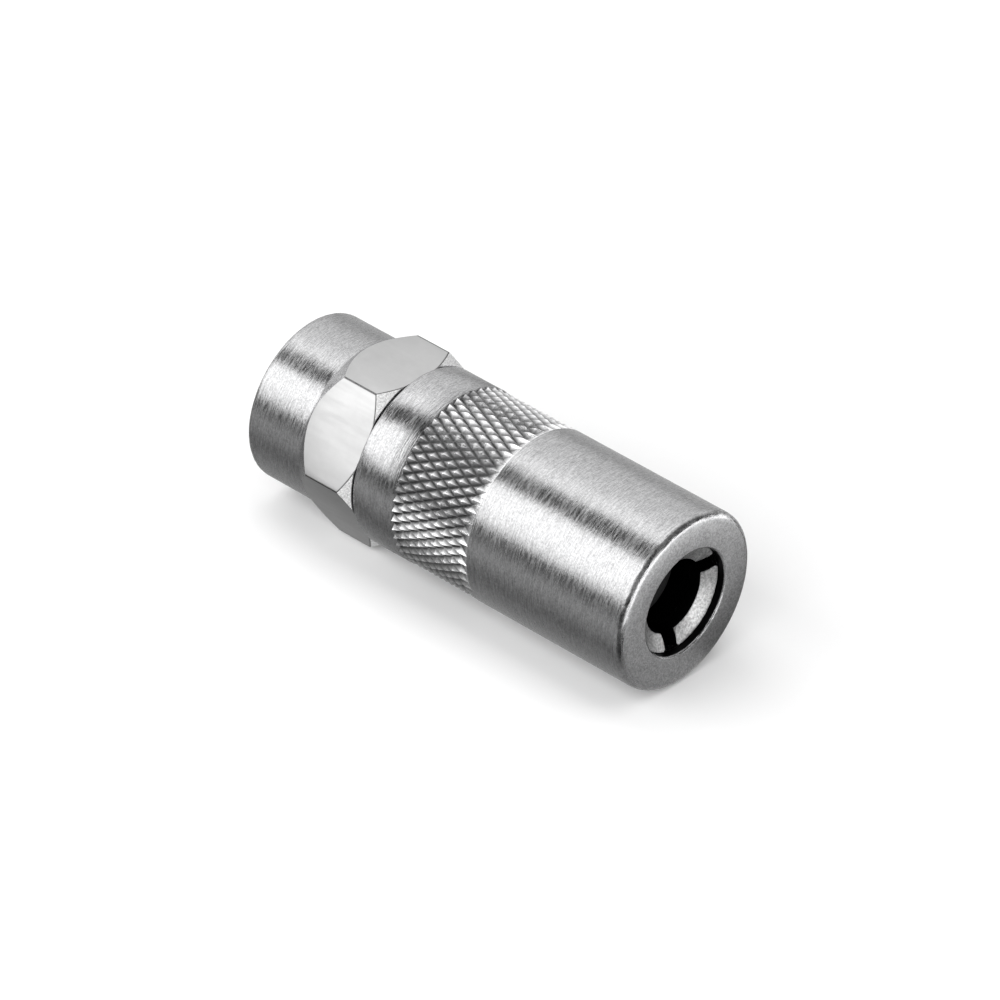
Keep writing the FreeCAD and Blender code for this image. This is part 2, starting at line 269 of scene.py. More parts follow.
def tidy(mesh):
    """Merge doubles and turn the faces outwards."""
    bmesh.ops.remove_doubles(mesh, verts=mesh.verts[:], dist=1e-7)
    bmesh.ops.recalc_face_normals(mesh, faces=mesh.faces[:])


def hex_corner(sizes):
    """Return the radius of the hexagon's corners."""
    return sizes.hex_flat_radius / math.cos(math.pi / 6)


def radius_of(vertex):
    """Return a vertex's distance from the coupler's axis."""
    return math.hypot(vertex.co.y, vertex.co.z)


def set_radius(vertex, radius):
    """Move a vertex towards or away from the coupler's axis."""
    share = radius / radius_of(vertex)
    vertex.co.y *= share
    vertex.co.z *= share


def cut(mesh, place, normal):
    """Cut away what lies on the outer side of a plane and close the cut."""
    result = bmesh.ops.bisect_plane(
        mesh, geom=mesh.verts[:] + mesh.edges[:] + mesh.faces[:], dist=1e-8,
        plane_co=place, plane_no=normal, clear_outer=True)
    rim = [item for item in result["geom_cut"] if isinstance(item, bmesh.types.BMEdge)]
    bmesh.ops.holes_fill(mesh, edges=rim, sides=0)


def shade(mesh):
    """Smooth every face and keep the edges past the limit sharp."""
    for face in mesh.faces:
        face.smooth = True
    for edge in mesh.edges:
        edge.smooth = len(edge.link_faces) == 2 and edge.calc_face_angle() < SMOOTH_LIMIT


def turned_piece(corners, steps, *place):
    """Turn a piece that needs no more work, and place it."""
    mesh = lathe(corners, steps)
    shade(mesh)
    place_piece(mesh, *place)


def new_object(mesh, name, materials):
    """Turn a finished mesh into an object with its materials."""
    data = bpy.data.meshes.new(name)
    mesh.to_mesh(data)
    mesh.free()
    for material in materials:
        data.materials.append(material)
    item = bpy.data.objects.new(name, data)
    bpy.context.scene.collection.objects.link(item)
    return item


def place_piece(mesh, name, body, node, slot, finishes):
    """Make an object that rides on a body and stands for its CAD node."""
    item = new_object(mesh, name, [use_finish(finish) for finish in finishes])
    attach(item, body)
    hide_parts(node)
    return item


# Shader helpers

class Value:
    """A shader value that adds its Math nodes when it is used in a sum."""

    def __init__(self, nodes, socket):
        self.nodes, self.socket = nodes, socket

    def math(self, operation, *inputs):
        """Add a Math node."""
        return self.nodes.add("ShaderNodeMath", {"operation": operation}, dict(enumerate(inputs)))

    def __add__(self, other):
        return self.math("ADD", self, other)

    __radd__ = __add__

    def __sub__(self, other):
        return self.math("SUBTRACT", self, other)

    def __rsub__(self, other):
        return self.math("SUBTRACT", other, self)

    def __mul__(self, other):
        return self.math("MULTIPLY", self, other)

    __rmul__ = __mul__

    def ramp(self, low, high, start=0.0, end=1.0):
        """Go smoothly from start at low to end at high."""
        return self.nodes.add("ShaderNodeMapRange", {"interpolation_type": "SMOOTHSTEP"},
                              {"Value": self, "From Min": low, "From Max": high,
                               "To Min": start, "To Max": end})


class Nodes:
    """A node tree that is filled one node at a time."""

    def __init__(self, tree):
        self.tree = tree
        tree.nodes.clear()

    def add(self, kind, settings=None, sockets=None, output=0):
        """Add a node, set it up, fill its sockets and return one of its outputs."""
        node = self.tree.nodes.new(kind)
        for name, setting in (settings or {}).items():
            setattr(node, name, setting)
        for name, content in (sockets or {}).items():
            if isinstance(content, Value):
                self.tree.links.new(content.socket, node.inputs[name])
            else:
                node.inputs[name].default_value = content
        return Value(self, node.outputs[output]) if len(node.outputs) else None

    def place(self):
        """Return the Object coordinates and their three numbers."""
        spot = self.add("ShaderNodeTexCoord", output=3)
        split = self.add("ShaderNodeSeparateXYZ", None, {0: spot}).socket.node
        return [spot] + [Value(self, split.outputs[i]) for i in range(3)]

    def vector(self, x, y, z):
        """Join three numbers into a vector."""
        return self.add("ShaderNodeCombineXYZ", None, {0: x, 1: y, 2: z})

    def radius(self, y, z):
        """Return the distance from the coupler's axis."""
        return self.add("ShaderNodeVectorMath", {"operation": "LENGTH"},
                        {0: self.vector(0.0, y, z)}, output=1)

    def grain(self, scale, detail=3.0, roughness=0.6):
        """Return noise that is alike in every direction of the Object coordinates."""
        return self.noise(self.place()[0], scale, detail, roughness)

    def noise(self, vector, scale, detail, roughness):
        """Return smooth noise from 0 to 1."""
        return self.add("ShaderNodeTexNoise", {"noise_dimensions": "3D"},
                        {"Vector": vector, "Scale": scale, "Detail": detail,
                         "Roughness": roughness})

    def mix(self, share, first, second):
        """Mix two colours."""
        node = self.add("ShaderNodeMix", {"data_type": "RGBA"}, output=2).socket.node
        for index, content in ((0, share), (6, first), (7, second)):
            if isinstance(content, Value):
                self.tree.links.new(content.socket, node.inputs[index])
            else:
                node.inputs[index].default_value = content
        return Value(self, node.outputs[2])

    def steps(self, share, stops):
        """Read a brightness off a ramp of (share, brightness) stops, which may pass 1."""
        top = max(level for _, level in stops)
        node = self.add("ShaderNodeValToRGB", None, {"Fac": share}).socket.node
        marks = node.color_ramp.elements
        while len(marks) < len(stops):
            marks.new(0.5)
        for mark, (position, level) in zip(marks, stops):
            mark.position = position
            mark.color = (level / top,) * 3 + (1,)
        return Value(self, node.outputs["Color"]) * top

    def bump(self, height, strength, distance):
        """Return a normal that follows a height."""
        return self.add("ShaderNodeBump", None,
                        {"Strength": strength, "Distance": distance, "Height": height})


def new_material(name):
    """Return the empty node tree of a new material, and the material."""
    material = bpy.data.materials.new(name)
    material.use_nodes = True
    return Nodes(material.node_tree), material


def shaded(tone, share):
    """Return a colour made lighter or darker, with its alpha."""
    return tuple(min(1.0, channel * share) for channel in tone) + (1.0,)


# Finishes: each returns the sockets that vary

# Cells in a metre along and around, detail and roughness: fine lines, broad lines, rings
LATHE_LINES = ((14000, 1300, 3.0, 0.7), (7000, 900, 2.0, 0.6), (4000, 60, 3.0, 0.7))


def lathe_lines(nodes):
    """Return fine and broad lines and rings around the axis, as a lathe tool leaves them."""
    _, x, y, z = nodes.place()
    across = x + 1.31 * nodes.radius(y, z)
    return [nodes.noise(nodes.vector(across * along, y * around, z * around), 1.0, detail, rough)
            for along, around, detail, rough in LATHE_LINES]


def turned_steel(nodes, tone):
    """Turned steel: rings of fine lines that break up its gloss."""
    fine, broad, rings = lathe_lines(nodes)
    grain = nodes.grain(6500.0, 2.0, 0.7)
    lines = fine.ramp(0.3, 0.7)
    return {
        "Base Color": nodes.mix(lines * 0.6 + grain.ramp(0.3, 0.7) * 0.4,
                                shaded(tone, 0.6), shaded(tone, 1.34)),
        "Roughness": 0.13 + lines * 0.12 + broad.ramp(0.35, 0.65) * 0.1,
        "Normal": nodes.bump(fine * 0.25 + broad + rings * 0.7 + grain * 0.12, 1.0, 0.03 * MM),
    }


def faced_steel(nodes, tone, rough=0.28):
    """Faced steel: an end face with an even satin grain."""
    grain = nodes.grain(7500.0, 3.0, 0.7)
    cloud = nodes.grain(900.0)
    return {
        "Base Color": nodes.mix(grain.ramp(0.3, 0.7) * 0.75 + cloud * 0.25,
                                shaded(tone, 0.5), shaded(tone, 1.35)),
        "Roughness": rough + grain * 0.12,
        "Normal": nodes.bump(grain, 0.7, 0.012 * MM),
    }


def bevelled_steel(nodes, tone):
    """Bevels of the hexagon: the same grain, rougher, with a painted highlight from the bright
    colour and low Metallic.
    """
    return faced_steel(nodes, tone, 0.45)


def darkened_steel(nodes, tone):
    """Painted shade: nearly black steel for the mouth, the jaws' saw cuts and hollows and the
    hexagon's broken edges, with a faint mottle.
    """
    shade_mottle = nodes.grain(1200.0)
    return {
        "Base Color": nodes.mix(shade_mottle, shaded(tone, 0.6), shaded(tone, 1.5)),
        "Roughness": 0.32 + shade_mottle * 0.2,
        "Normal": nodes.bump(shade_mottle, 0.3, 0.02 * MM),
    }


def milled_steel(nodes, tone):
    """Milled hexagon flats: satin, with faint straight marks, small dents and painted shade along
    their front and corner edges.
    """
    sizes = bpy.context.scene.coupler_inlet
    corner = hex_corner(sizes)
    cone = corner - sizes.front_bevel + sizes.hex_end
    _, x, y, z = nodes.place()
    reach = nodes.radius(y, z)
    # Painted shade: dark lines along the flats' front and corner edges
    inside = ((cone - x - reach).ramp(0.03 * MM, 0.16 * MM)
              * (corner - reach).ramp(0.015 * MM, 0.07 * MM))
    marks = nodes.noise(nodes.vector(x * 300, y * 2600, z * 2600), 1.0, 3.0, 0.6)
    cloud = nodes.grain(900.0, 4.0)
    return {
        "Base Color": nodes.mix(inside, shaded(tone, 0.12), nodes.mix(
            cloud, shaded(tone, 0.9), shaded(tone, 1.08))),
        "Roughness": 0.3 + marks.ramp(0.3, 0.7) * 0.08 + cloud * 0.06,
        "Normal": nodes.bump(marks * 0.5 + cloud, 0.2, 0.008 * MM),
    }


def knurled_steel(nodes, tone):
    """Knurled band: bright points and darker grooves, which are painted highlight and painted
    shade.
    """
    sizes = bpy.context.scene.coupler_sleeve
    _, _, y, z = nodes.place()
    grain = nodes.grain(4200.0)
    cloud = nodes.grain(420.0, 2.0, 0.5)
    high = nodes.radius(y, z).ramp(sizes.radius - 0.92 * sizes.knurl_depth, sizes.radius)
    return {
        # Painted shade in the grooves and painted highlight on the points, set by depth
        "Base Color": nodes.mix(high * 0.75 + grain * 0.25, shaded(tone, 0.1),
                                shaded(tone, 1.5)),
        "Roughness": 0.31 - high * 0.12 + cloud.ramp(0.3, 0.7) * 0.08,
        "Normal": nodes.bump(grain, 1.0, 0.035 * MM),
    }


def hardened_steel(nodes, tone):
    """Hardened jaws: fine ground grain with light heat shades."""
    fine = lathe_lines(nodes)[0]
    grain = nodes.grain(5500.0, 3.0, 0.7)
    return {
        "Base Color": nodes.mix(grain.ramp(0.3, 0.7), shaded(tone, 0.6), shaded(tone, 1.3)),
        "Roughness": 0.26 + fine * 0.16,
        "Normal": nodes.bump(fine * 0.4 + grain, 0.8, 0.02 * MM),
    }


def spring_wire(nodes, tone):
    """Drawn spring wire: dark, with a faint oily mottle."""
    mottle = nodes.grain(2400.0)
    return {
        "Base Color": nodes.mix(mottle, shaded(tone, 0.75), shaded(tone, 1.2)),
        "Roughness": 0.28 + mottle * 0.16,
        "Normal": nodes.bump(mottle, 0.25, 0.01 * MM),
    }


def polished_steel(nodes, tone):
    """Polished ball: bright, with very slight haze."""
    haze = nodes.grain(1500.0, 4.0)
    return {
        "Base Color": nodes.mix(haze, shaded(tone, 0.94), shaded(tone, 1.05)),
        "Roughness": 0.06 + haze.ramp(0.45, 0.75) * 0.09,
    }


def seal_rubber(nodes, tone):
    """Black seal rubber: fine matt grain with a trace of grease."""
    grain = nodes.grain(7000.0)
    grease = nodes.grain(600.0, 2.0, 0.5).ramp(0.45, 0.65)
    return {
        "Base Color": nodes.mix(grain, shaded(tone, 0.7), shaded(tone, 1.6)),
        "Roughness": 0.62 - grease * 0.22 + grain * 0.08,
        "Normal": nodes.bump(grain, 0.3, 0.015 * MM),
    }


# Function, colour setting and Metallic of each finish
FINISHES = {
    "turned_steel": (turned_steel, "turned", 1.0),
    "faced_steel": (faced_steel, "faced", 1.0),
    "bevelled_steel": (bevelled_steel, "bevelled", 0.35),
    "darkened_steel": (darkened_steel, "darkened", 1.0),
    "milled_steel": (milled_steel, "milled", 1.0),
    "knurled_steel": (knurled_steel, "knurled", 1.0),
    "hardened_steel": (hardened_steel, "hardened", 1.0),
    "spring_wire": (spring_wire, "wire", 1.0),
    "polished_steel": (polished_steel, "polished", 1.0),
    "seal_rubber": (seal_rubber, "rubber", 0.0),
}


def use_finish(name):
    """Return a finish by name, made when it is first asked for."""
    if name in bpy.data.materials:
        return bpy.data.materials[name]
    build, tone, metallic = FINISHES[name]
    nodes, material = new_material(name)
    sockets = build(nodes, getattr(bpy.context.scene.coupler_finishes, tone))
    surface = nodes.add("ShaderNodeBsdfPrincipled", None, {**sockets, "Metallic": metallic})
    nodes.add("ShaderNodeOutputMaterial", None, {"Surface": surface})
    return material


# Pieces

class AddInletBody(bpy.types.Operator):
    """Turn the inlet body, mill its hexagon and cut its hose thread"""
    bl_idname = "coupler.add_inlet_body"
    bl_label = "Inlet Body"

    def execute(self, context):
        sizes = context.scene.coupler_inlet
        mesh = self.turn_blank(sizes)
        self.mill_flats(mesh, sizes)
        self.break_edges(mesh, sizes)
        shade(mesh)
        for face in self.flats_now(mesh):
            face.material_index = 1
        # The front bevels get a painted highlight, and the broken edges around them painted shade
        for face in mesh.faces:
            if min(radius_of(vertex) for vertex in face.verts) > sizes.hex_flat_radius - 0.02 * MM:
                if 0.6 < face.normal.x < 0.8:
                    face.material_index = 2
                elif 0.1 < face.normal.x <= 0.6:
                    face.material_index = 3
        self.add_thread(mesh, sizes)
        place_piece(mesh, "turned_inlet_body", "inlet_end", "inlet_body", "body_steel",
                    ["turned_steel", "milled_steel", "bevelled_steel", "darkened_steel"])
        return {"FINISHED"}

    def turn_blank(self, sizes):
        """Spin the body with a blank ring that the hexagon is milled from."""
        collar, end = sizes.collar_length, sizes.hex_end
        corner = hex_corner(sizes)
        allowance = 0.35 * MM
        blank = corner + allowance
        slope = (corner - sizes.collar_radius) / sizes.rear_bevel
        rear = collar + (blank - sizes.collar_radius) / slope
        front_radius = corner - sizes.front_bevel
        front = end - (blank - front_radius)
        root, depth = sizes.groove_radius, sizes.bore_depth
        port_end = depth + sizes.port_length
        return lathe([
            (0, root + 0.2 * MM, 0.04 * MM),
            (0.22 * MM, root, 0),
            (depth, root, 0.1 * MM),
            (depth, sizes.port_radius, 0.1 * MM),
            (port_end, sizes.port_radius, 0),
            (port_end, sizes.stem_bore, 0),
            (sizes.pocket_start, sizes.stem_bore, 0.05 * MM),
            (sizes.pocket_start, sizes.pocket_radius, 0.05 * MM),
            (sizes.stem_end, sizes.pocket_radius, 0.05 * MM),
            (sizes.stem_end, sizes.stem_radius, 0.12 * MM),
            (sizes.spigot_end, sizes.stem_radius, 0.1 * MM),
            (sizes.spigot_end, sizes.spigot_radius - sizes.spigot_edge, 0.05 * MM),
            (sizes.spigot_end - sizes.spigot_edge, sizes.spigot_radius, 0.05 * MM),
            (end, sizes.spigot_radius, 0),
            (end, front_radius, 0.06 * MM),
            (front, blank, 0),
            (rear, blank, 0),
            (collar, sizes.collar_radius, 0.1 * MM),
            (0, sizes.collar_radius, sizes.collar_edge),
        ], 192)

    def mill_flats(self, mesh, sizes):
        """Cut the blank ring down to six flats."""
        for number in range(6):
            angle = math.pi / 6 + number * math.pi / 3
            normal = Vector((0, math.cos(angle), math.sin(angle)))
            cut(mesh, normal * sizes.hex_flat_radius, normal)

    def flats_now(self, mesh):
        """Return the hexagon's flats, the only upright faces with many corners."""
        return [face for face in mesh.faces
                if len(face.verts) > 40 and abs(face.normal.x) < 1e-3]

    def break_edges(self, mesh, sizes):
        """Break the sharp edges around the flats."""
        bmesh.ops.recalc_face_normals(mesh, faces=mesh.faces[:])
        rims = {edge for face in self.flats_now(mesh) for edge in face.edges}
        round_off(mesh, list(rims), sizes.hex_edge, 2, "EDGES", clamp=True)

    def add_thread(self, mesh, sizes):
        """Spin the thread's ridge along its helix and thin it out at both ends."""
        steps_per_turn = 48
        crest = 0.06 * MM
        turns = int(sizes.thread_length / sizes.thread_pitch) - 1
        start = 0.5 * sizes.thread_pitch
        sunk = sizes.groove_radius + 0.05 * MM
        half = 0.45 * sizes.thread_pitch
        corners = [(start - half, sunk), (start - crest, sizes.thread_radius),
                   (start + crest, sizes.thread_radius), (start + half, sunk)]
        body = set(mesh.verts)
        start_face = mesh.faces.new([mesh.verts.new((x, 0, r)) for x, r in corners])
        bmesh.ops.spin(
            mesh, geom=[start_face], cent=CENTRE, axis=AXIS,
            dvec=(sizes.thread_pitch / steps_per_turn, 0, 0), angle=FULL_TURN * turns,
            steps=steps_per_turn * turns)
        island = [vertex for vertex in mesh.verts if vertex not in body]
        bmesh.ops.recalc_face_normals(
            mesh, faces=list({face for vertex in island for face in vertex.link_faces}))
        for vertex in island:
            reach = radius_of(vertex)
            if reach < sizes.groove_radius - 0.1 * MM:
                along = vertex.co.x / (sizes.thread_pitch * 0.8)
                back = (start + turns * sizes.thread_pitch - vertex.co.x) / sizes.thread_pitch
                left = min(1.0, max(0.0, along - 0.25), max(0.0, back))
                set_radius(vertex, sunk + (reach - sunk) * left)
        for vertex in island:
            for face in vertex.link_faces:
                face.smooth = False


class AddSleeve(bpy.types.Operator):
    """Turn the sleeve and press its diamond knurl"""
    bl_idname = "coupler.add_sleeve"
    bl_label = "Knurled Sleeve"

    def execute(self, context):
        sizes = context.scene.coupler_sleeve
        start, end = lowest("sleeve"), highest("sleeve")
        cone_end = end - sizes.mouth_land
        cone_start = cone_end - (sizes.bore_radius - sizes.mouth_radius) / math.tan(
            sizes.cone_angle)
        step = sizes.knurl_length / sizes.knurl_along
        band = [(sizes.knurl_start + step * (sizes.knurl_along - number), sizes.radius, 0)
                for number in range(sizes.knurl_along + 1)]
        mesh = lathe([
            (start, sizes.seat_radius, 0.1 * MM),
            (sizes.seat_end, sizes.seat_radius, 0),
            (sizes.seat_end, sizes.bore_radius, 0.05 * MM),
            (cone_start, sizes.bore_radius, 0.3 * MM),
            (cone_end, sizes.mouth_radius, 0.04 * MM),
            (end, sizes.mouth_radius, sizes.mouth_edge),
            (end, sizes.radius, sizes.nose_rounding),
            *band,
            (sizes.knurl_start - 0.1 * MM, sizes.radius, 0),
            (start, sizes.radius, sizes.rear_edge),
        ], 2 * sizes.knurl_around, segments=6)
        shade(mesh)
        # The nose's face, and the mouth without its broken edge, which gets painted shade
        for face in mesh.faces:
            middle = face.calc_center_median()
            if face.normal.x > 0.97:
                face.material_index = 2
            elif math.hypot(middle.y, middle.z) < sizes.mouth_radius + 0.01 * MM and (
                    face.normal.x < 0.3):
                face.material_index = 3
        self.press_knurl(mesh, sizes, step)
        place_piece(mesh, "knurled_sleeve", "sleeve", "sleeve", "sleeve_steel",
                    ["turned_steel", "knurled_steel", "faced_steel", "darkened_steel"])
        return {"FINISHED"}

    def press_knurl(self, mesh, sizes, step):
        """Sink every second point of the band's grid, where the two sets of grooves cross."""
        low, high = sizes.knurl_start, sizes.knurl_start + sizes.knurl_length
        on_band = {vertex for vertex in mesh.verts
                   if low - 0.02 * MM < vertex.co.x < high + 0.1 * step
                   and radius_of(vertex) > sizes.radius - 0.1 * MM}
        spacing = math.pi / sizes.knurl_around
        crossings = set()
        for vertex in on_band:
            row = round((vertex.co.x - low) / step)
            column = round(math.atan2(vertex.co.z, vertex.co.y) / spacing + 0.5 *
                           (sizes.knurl_around % 2))
            if (row + column) % 2 == 0 and row < sizes.knurl_along:
                crossings.add(vertex)
        band_faces = [face for face in mesh.faces if all(v in on_band for v in face.verts)]
        for face in band_faces:
            face.material_index = 1
            corners = list(face.verts)
            sunk = [vertex for vertex in corners if vertex in crossings]
            if len(sunk) == 2:
                bmesh.utils.face_split(face, *sunk)
            elif len(sunk) == 1:
                across = corners[(corners.index(sunk[0]) + 2) % 4]
                bmesh.utils.face_split(face, sunk[0], across)
        for vertex in crossings:
            set_radius(vertex, sizes.radius - sizes.knurl_depth)
        points = [vertex for vertex in on_band - crossings
                  if low + 0.5 * step < vertex.co.x < high - 0.5 * step]
        round_off(mesh, points, sizes.knurl_crest, 1, "VERTICES")
        for face in mesh.faces:
            if face.material_index == 1:
                face.smooth = False
        for vertex in mesh.verts:
            share = min(1.0, max(0.0, (vertex.co.x - low) / sizes.knurl_length))
            vertex.co.rotate(Matrix.Rotation(share * sizes.knurl_twist, 3, "X"))


class AddJaws(bpy.types.Operator):
    """Cut the three jaws from one ring with a saw and round their corners"""
    bl_idname = "coupler.add_jaws"
    bl_label = "Gripping Jaws"

    def execute(self, context):
        sizes = context.scene.coupler_jaws
        for number in range(JAW_COUNT):
            mesh = self.make_ring(sizes, context.scene.coupler_sleeve.cone_angle)
            middle = sizes.first_turn + number * FULL_TURN / JAW_COUNT
            # Half a step past the jaw's middle, so that no point is near a saw cut
            bmesh.ops.rotate(mesh, verts=mesh.verts[:], cent=CENTRE, matrix=Matrix.Rotation(
                middle + math.pi / RING_STEPS - math.pi / 2, 3, "X"))
            for side in (1, -1):
                angle = middle + side * (math.pi / JAW_COUNT + math.pi / 2)
                normal = Vector((0, math.cos(angle), math.sin(angle)))
                cut(mesh, -normal * sizes.gap / 2, normal)
            self.round_corners(mesh, sizes)
            shade(mesh)
            # Painted shade darkens the saw cuts and what lies behind the lips, not the jaws' backs
            depth = highest("jaw_1") - sizes.funnel - 0.3 * MM
            for face in mesh.faces:
                spot = face.calc_center_median()
                outward = face.normal.dot(Vector((0, spot.y, spot.z)).normalized())
                if outward < 0.5 and (spot.x < depth or abs(face.normal.x) < 0.35):
                    face.material_index = 1
            node = f"jaw_{number + 1}"
            place_piece(mesh, f"gripping_{node}", node, node, "jaw_steel",
                        ["hardened_steel", "darkened_steel"])
        return {"FINISHED"}

    def make_ring(self, sizes, cone_angle):
        """Spin the ring that the jaws are cut from."""
        start, end = lowest("jaw_1"), highest("jaw_1")
        lip_end = end - sizes.funnel
        lip_start = lip_end - sizes.lip_length
        cone_start = end - (sizes.outer_radius - sizes.mouth_radius) / math.tan(cone_angle)
        return lathe([
            (start, sizes.foot_radius, 0.08 * MM),
            (start + sizes.foot_length, sizes.foot_radius, 0.08 * MM),
            (start + sizes.foot_length, sizes.relief_radius, 0),
            (lip_start - 0.5 * MM, sizes.relief_radius, 0.1 * MM),
            (lip_start, sizes.lip_radius, 0.06 * MM),
            (lip_end, sizes.lip_radius, 0.06 * MM),
            (end, sizes.mouth_radius, 0),
            (cone_start, sizes.outer_radius, 0),
            (start, sizes.outer_radius, 0),
        ], RING_STEPS, segments=3)

    def round_corners(self, mesh, sizes):
        """Round the saw cuts' corners along the jaws' backs and lips."""
        bmesh.ops.recalc_face_normals(mesh, faces=mesh.faces[:])
        sides = [face for face in mesh.faces if len(face.verts) > 12]
        rims = {edge for face in sides for edge in face.edges}
        reach = {edge: [radius_of(vertex) for vertex in edge.verts] for edge in rims
                 if abs(edge.verts[0].co.x - edge.verts[1].co.x) > 1e-6}
        back = [edge for edge, ends in reach.items() if min(ends) > sizes.mouth_radius - 0.15 * MM]
        lip = [edge for edge, ends in reach.items() if max(ends) < sizes.lip_radius + 0.1 * MM
               and min(ends) > sizes.foot_radius + 0.1 * MM]
        round_off(mesh, back + lip, sizes.corner, 4, "EDGES")
        bmesh.ops.dissolve_degenerate(mesh, dist=1e-6, edges=mesh.edges[:])


class AddPiston(bpy.types.Operator):
    """Turn the hollow piston and mould the seal in its head"""
    bl_idname = "coupler.add_piston"
    bl_label = "Piston and Nose Seal"

    def execute(self, context):
        sizes = context.scene.coupler_core
        tail, head_end = lowest("piston"), highest("piston")
        neck_end = head_end - sizes.head_length
        flange_end = lowest("jaw_1") - 0.05 * MM
        flange_start = flange_end - sizes.flange_length
        pocket = lowest("nose_seal")
        turned_piece([
            (tail, sizes.passage_radius, 0.15 * MM),
            (pocket, sizes.passage_radius, 0),
            (pocket, sizes.pocket_radius, 0),
            (head_end, sizes.pocket_radius, 0.05 * MM),
            (head_end, sizes.head_radius, 0.1 * MM),
            (neck_end, sizes.head_radius, 0.08 * MM),
            (neck_end, sizes.neck_radius, 0.08 * MM),
            (flange_end, sizes.neck_radius, 0.08 * MM),
            (flange_end, sizes.flange_radius, 0.12 * MM),
            (flange_start, sizes.flange_radius, 0.12 * MM),
            (flange_start, sizes.tail_radius, 0.15 * MM),
            (tail, sizes.tail_radius, 0.3 * MM),
        ], 128, "hollow_piston", "piston", "piston", "piston_steel", ["turned_steel"])
        self.add_seal(sizes, pocket, head_end)
        return {"FINISHED"}

    def add_seal(self, sizes, pocket, head_end):
        """Spin the rubber seal with its foot, shoulder and cupped mouth."""
        end = highest("nose_seal")
        turned_piece([
            (pocket, sizes.passage_radius, 0.08 * MM),
            (end - sizes.cup_depth, sizes.passage_radius, 0.12 * MM),
            (end, sizes.lip_radius, 0.15 * MM),
            (end, sizes.seal_radius, 0.2 * MM),
            (head_end, sizes.seal_radius, 0.08 * MM),
            (head_end, sizes.pocket_radius, 0),
            (pocket, sizes.pocket_radius, 0.15 * MM),
        ], 96, "cupped_nose_seal", "piston", "nose_seal", "seal_rubber", ["seal_rubber"])


class AddRings(bpy.types.Operator):
    """Add the piston's O-ring, its gland ring, the check retainer and the check ball"""
    bl_idname = "coupler.add_rings"
    bl_label = "Rings and Check Ball"

    def execute(self, context):
        inlet, core = context.scene.coupler_inlet, context.scene.coupler_core
        self.add_o_ring(core.ring_bore)
        self.add_washer("gland_ring", inlet.stem_bore, inlet.pocket_radius,
                        "turned_gland_ring", 0.1 * MM)
        self.add_washer("check_retainer", core.retainer_bore, inlet.stem_bore,
                        "turned_retainer", 0.15 * MM)
        self.add_ball()
        return {"FINISHED"}

    def add_o_ring(self, inner):
        """Spin a round section into the O-ring."""
        low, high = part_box("piston_o_ring")
        outer = high.z
        mesh = bmesh.new()
        bmesh.ops.create_circle(
            mesh, segments=20, radius=(outer - inner) / 2,
            matrix=Matrix.Translation(((low.x + high.x) / 2, 0, (outer + inner) / 2))
            @ Matrix.Rotation(math.pi / 2, 4, "X"))
        spin_round(mesh, 80)
        shade(mesh)
        place_piece(mesh, "piston_rubber_ring", "inlet_end", "piston_o_ring", "seal_rubber",
                    ["seal_rubber"])

    def add_washer(self, node, inner, outer, name, edge):
        """Spin a ring with broken edges."""
        low, high = lowest(node), highest(node)
        turned_piece([(low, inner, edge), (high, inner, edge), (high, outer, edge / 2),
                      (low, outer, edge / 2)], 96, name, "inlet_end", node, "body_steel",
                     ["turned_steel"])

    def add_ball(self):
        """Make the check ball."""
        low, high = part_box("check_ball")
        mesh = bmesh.new()
        bmesh.ops.create_icosphere(mesh, subdivisions=5, radius=(high.x - low.x) / 2,
                                   matrix=Matrix.Translation(((low.x + high.x) / 2, 0, 0)))
        shade(mesh)
        place_piece(mesh, "polished_ball", "check_ball", "check_ball", "ball_steel",
                    ["polished_steel"])


class AddSprings(bpy.types.Operator):
    """Coil the main spring and the check spring, with closed and ground ends"""
    bl_idname = "coupler.add_springs"
    bl_label = "Springs"

    def execute(self, context):
        sizes = context.scene.coupler_core
        main = self.coil("main_spring", "main_coil_spring", sizes.main_coil, sizes.main_wire,
                         sizes.main_turns)
        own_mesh(main)
        check = self.coil("check_spring", "check_coil_spring", sizes.check_coil,
                          sizes.check_wire, sizes.check_turns)
        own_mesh(check)
        return {"FINISHED"}

    def coil(self, node, name, coil_radius, wire_radius, turns):
        """Spin a round wire through a closed turn, the free turns and a closed turn."""
        low, high = lowest(node), highest(node)
        close = 2.05 * wire_radius
        rise = (high - low - 2 * close) / turns
        mesh = bmesh.new()
        bmesh.ops.create_circle(
            mesh, cap_ends=True, segments=12, radius=wire_radius,
            matrix=Matrix.Translation((low, 0, coil_radius)) @ Matrix.Rotation(
                math.pi / 2, 4, "X"))
        ring, inner = mesh.faces[:], []
        # The faces left where one stretch ends and the next starts are taken out
        for count_of_turns, pitch in ((1, close), (turns, rise), (1, close)):
            result = bmesh.ops.spin(mesh, geom=ring, cent=CENTRE, axis=AXIS,
                                    dvec=(pitch / COIL_STEPS, 0, 0),
                                    angle=FULL_TURN * count_of_turns,
                                    steps=COIL_STEPS * count_of_turns)
            bmesh.ops.delete(mesh, geom=inner, context="FACES_ONLY")
            ring = [item for item in result["geom_last"] if isinstance(item, bmesh.types.BMFace)]
            inner = ring
        tidy(mesh)
        cut(mesh, (low, 0, 0), (-1, 0, 0))
        cut(mesh, (high, 0, 0), (1, 0, 0))
        tidy(mesh)
        shade(mesh)
        return place_piece(mesh, name, "inlet_end", node, "spring_steel", ["spring_wire"])


# Stage

FLOOR_RADIUS = 3.0
FLOOR_GAP = 0.02 * MM
SHEET_RADIUS = 0.69
SHEET_GAP = 0.01 * MM
TENT_RADIUS = 0.7
TENT_LENGTH = 3.0
